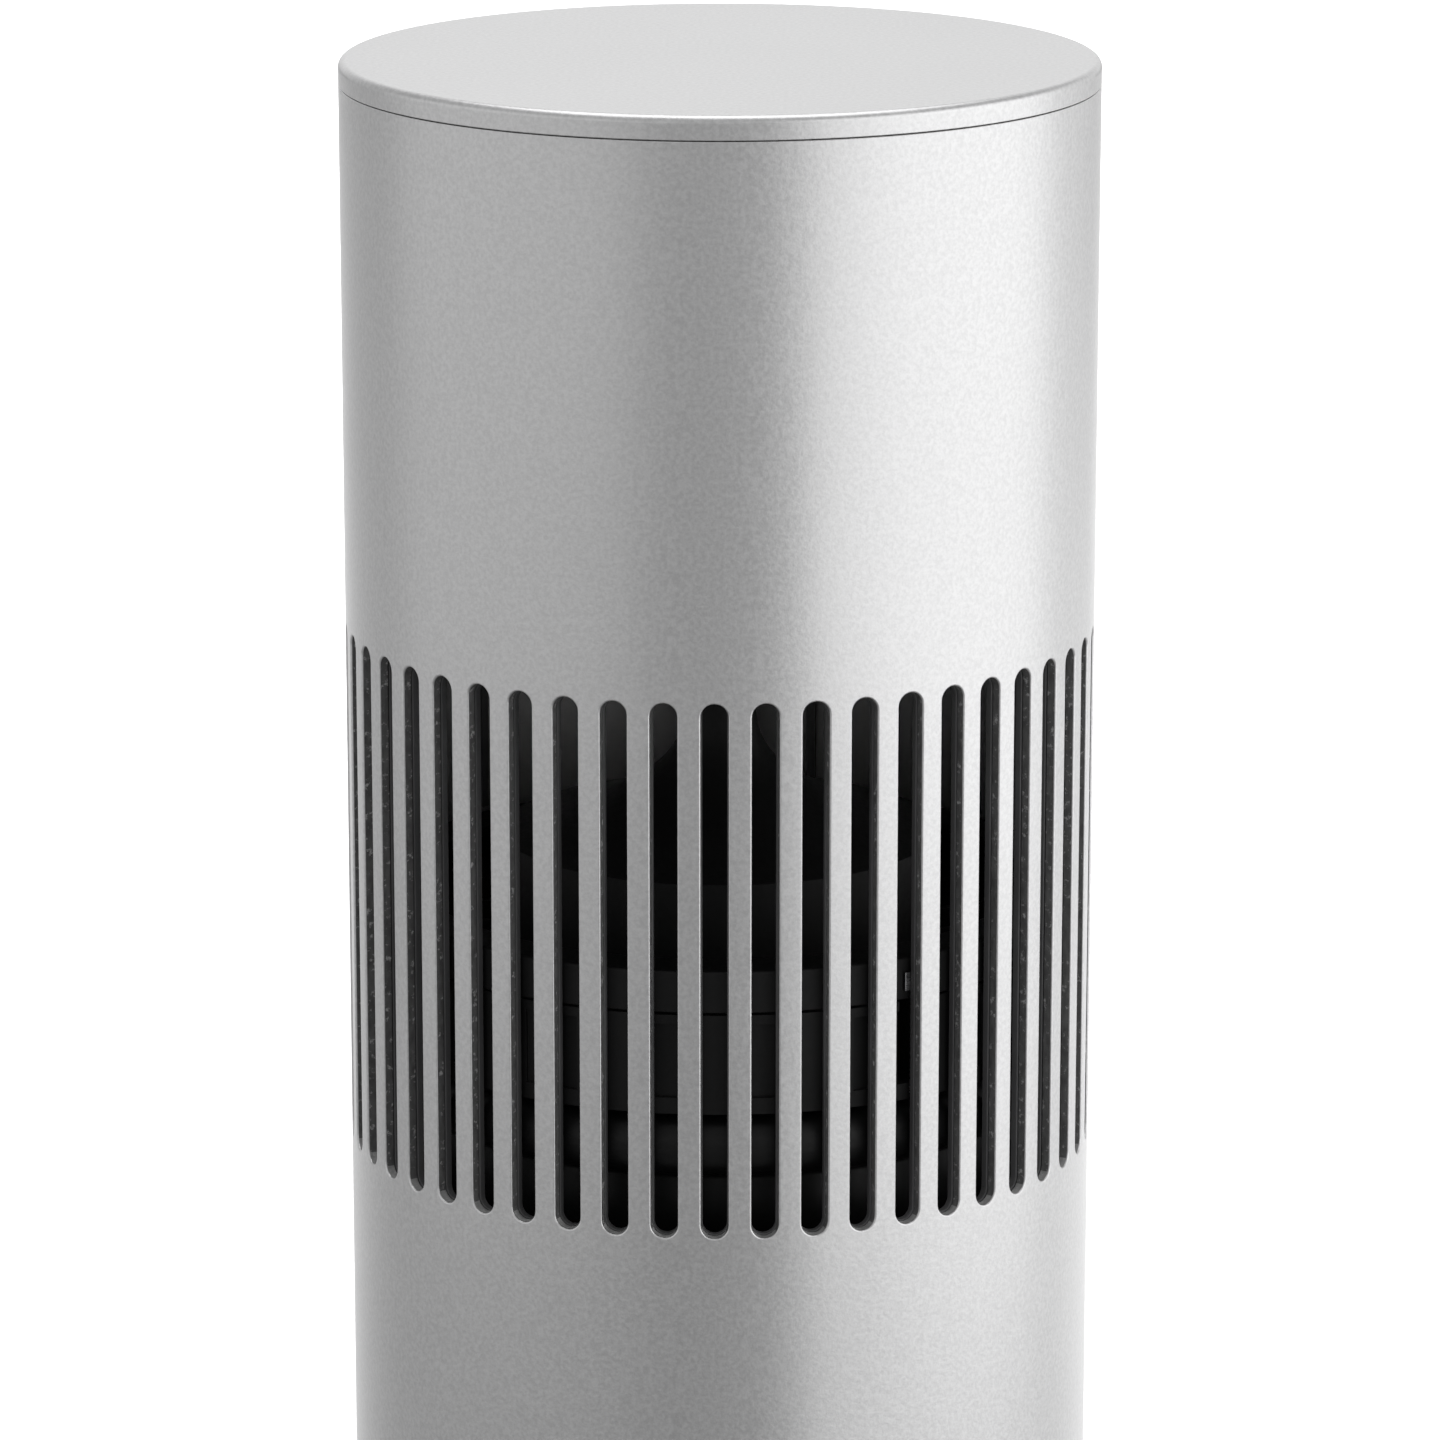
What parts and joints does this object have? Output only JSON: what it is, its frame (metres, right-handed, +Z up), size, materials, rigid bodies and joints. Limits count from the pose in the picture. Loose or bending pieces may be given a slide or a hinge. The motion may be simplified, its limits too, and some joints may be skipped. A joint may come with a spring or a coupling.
{
  "type": "tower fan",
  "caption": "Cylindrical aluminium tower fan with a slotted outlet round its front near the top, a slotted intake ring near its base and a turning cap as the speed dial.",
  "frame": {"origin": "on the floor under the middle of the base", "axes": "+Z up along the tube, +Y towards the rear panel with the mains inlet, +X to the right seen from the front"},
  "size_m": [0.24, 0.24, 0.9],
  "materials": {
    "aluminium": "bead-blasted and anodised silver",
    "base_paint": "fine silver powder coat on steel",
    "dark_plastic": "fine-grained black moulding",
    "liner_plastic": "dark grey moulding with faint machining marks in its slots",
    "gloss_plastic": "smooth glossy black moulding",
    "black_plastic": "deep matt black moulding",
    "grey_plastic": "plain grey moulding",
    "steel": "turned or rolled steel",
    "brass": "plain bright",
    "rubber": "matte moulded",
    "filter_fibre": "pleated non-woven fibre",
    "circuit_board": "lacquered glass-fibre board",
    "glide_plastic": "smooth low-friction moulding"
  },
  "bodies": {
    "housing": {"air_duct": "dark_plastic", "base_plate": "base_paint", "bearing_lower": "steel", "bearing_upper": "steel", "bulk_capacitor": "gloss_plastic", "collar_screw_1": "steel", "collar_screw_2": "steel", "collar_screw_3": "steel", "column_collar": "dark_plastic", "control_board": "circuit_board", "deck_pillar_1": "steel", "deck_pillar_2": "steel", "deck_pillar_3": "steel", "deck_pillar_4": "steel", "dial_deck": "dark_plastic", "dial_encoder": "steel", "flange_clip_1": "steel", "flange_clip_2": "steel", "flange_clip_3": "steel", "flange_clip_4": "steel", "foot_1": "rubber", "foot_2": "rubber", "foot_3": "rubber", "foot_4": "rubber", "glide_ring": "glide_plastic", "impeller_shroud": "black_plastic", "inlet_bell": "dark_plastic", "inlet_pin_1": "brass", "inlet_pin_2": "brass", "intake_filter": "filter_fibre", "intake_floor": "dark_plastic", "intake_liner": "liner_plastic", "mains_inlet": "gloss_plastic", "motor_board": "circuit_board", "motor_mount": "dark_plastic", "motor_stator": "steel", "outer_tube": "aluminium", "outlet_deck": "dark_plastic", "outlet_flange": "black_plastic", "outlet_liner": "liner_plastic", "rear_panel": "dark_plastic", "rocker_frame": "gloss_plastic", "rocker_pin": "steel", "supply_board": "circuit_board", "tail_cone": "black_plastic", "transformer": "grey_plastic", "vane_ring": "black_plastic", "wire_conduit": "grey_plastic"},
    "rotor": {"impeller": "black_plastic", "impeller_nut": "steel", "motor_shaft": "steel", "rotor_can": "steel"},
    "dial": {"cap_hub": "dark_plastic", "cap_screw_1": "steel", "cap_screw_2": "steel", "cap_screw_3": "steel", "dial_shaft": "steel", "top_cap": "aluminium"},
    "rocker": {"mains_rocker": "dark_plastic"}
  },
  "joints": [
    {"name": "impeller_spin", "type": "hinge", "parent": "housing", "child": "rotor", "pos_m": [0, 0, 0.65], "axis": [0, 0, 1], "continuous": true},
    {"name": "dial_turn", "type": "hinge", "parent": "housing", "child": "dial", "pos_m": [0, 0, 0.89], "axis": [0, 0, 1], "range_deg": [0, 270]},
    {"name": "rocker_tip", "type": "hinge", "parent": "housing", "child": "rocker", "pos_m": [0.015, 0.065, 0.044], "axis": [1, 0, 0], "range_deg": [0, 18]}
  ]
}
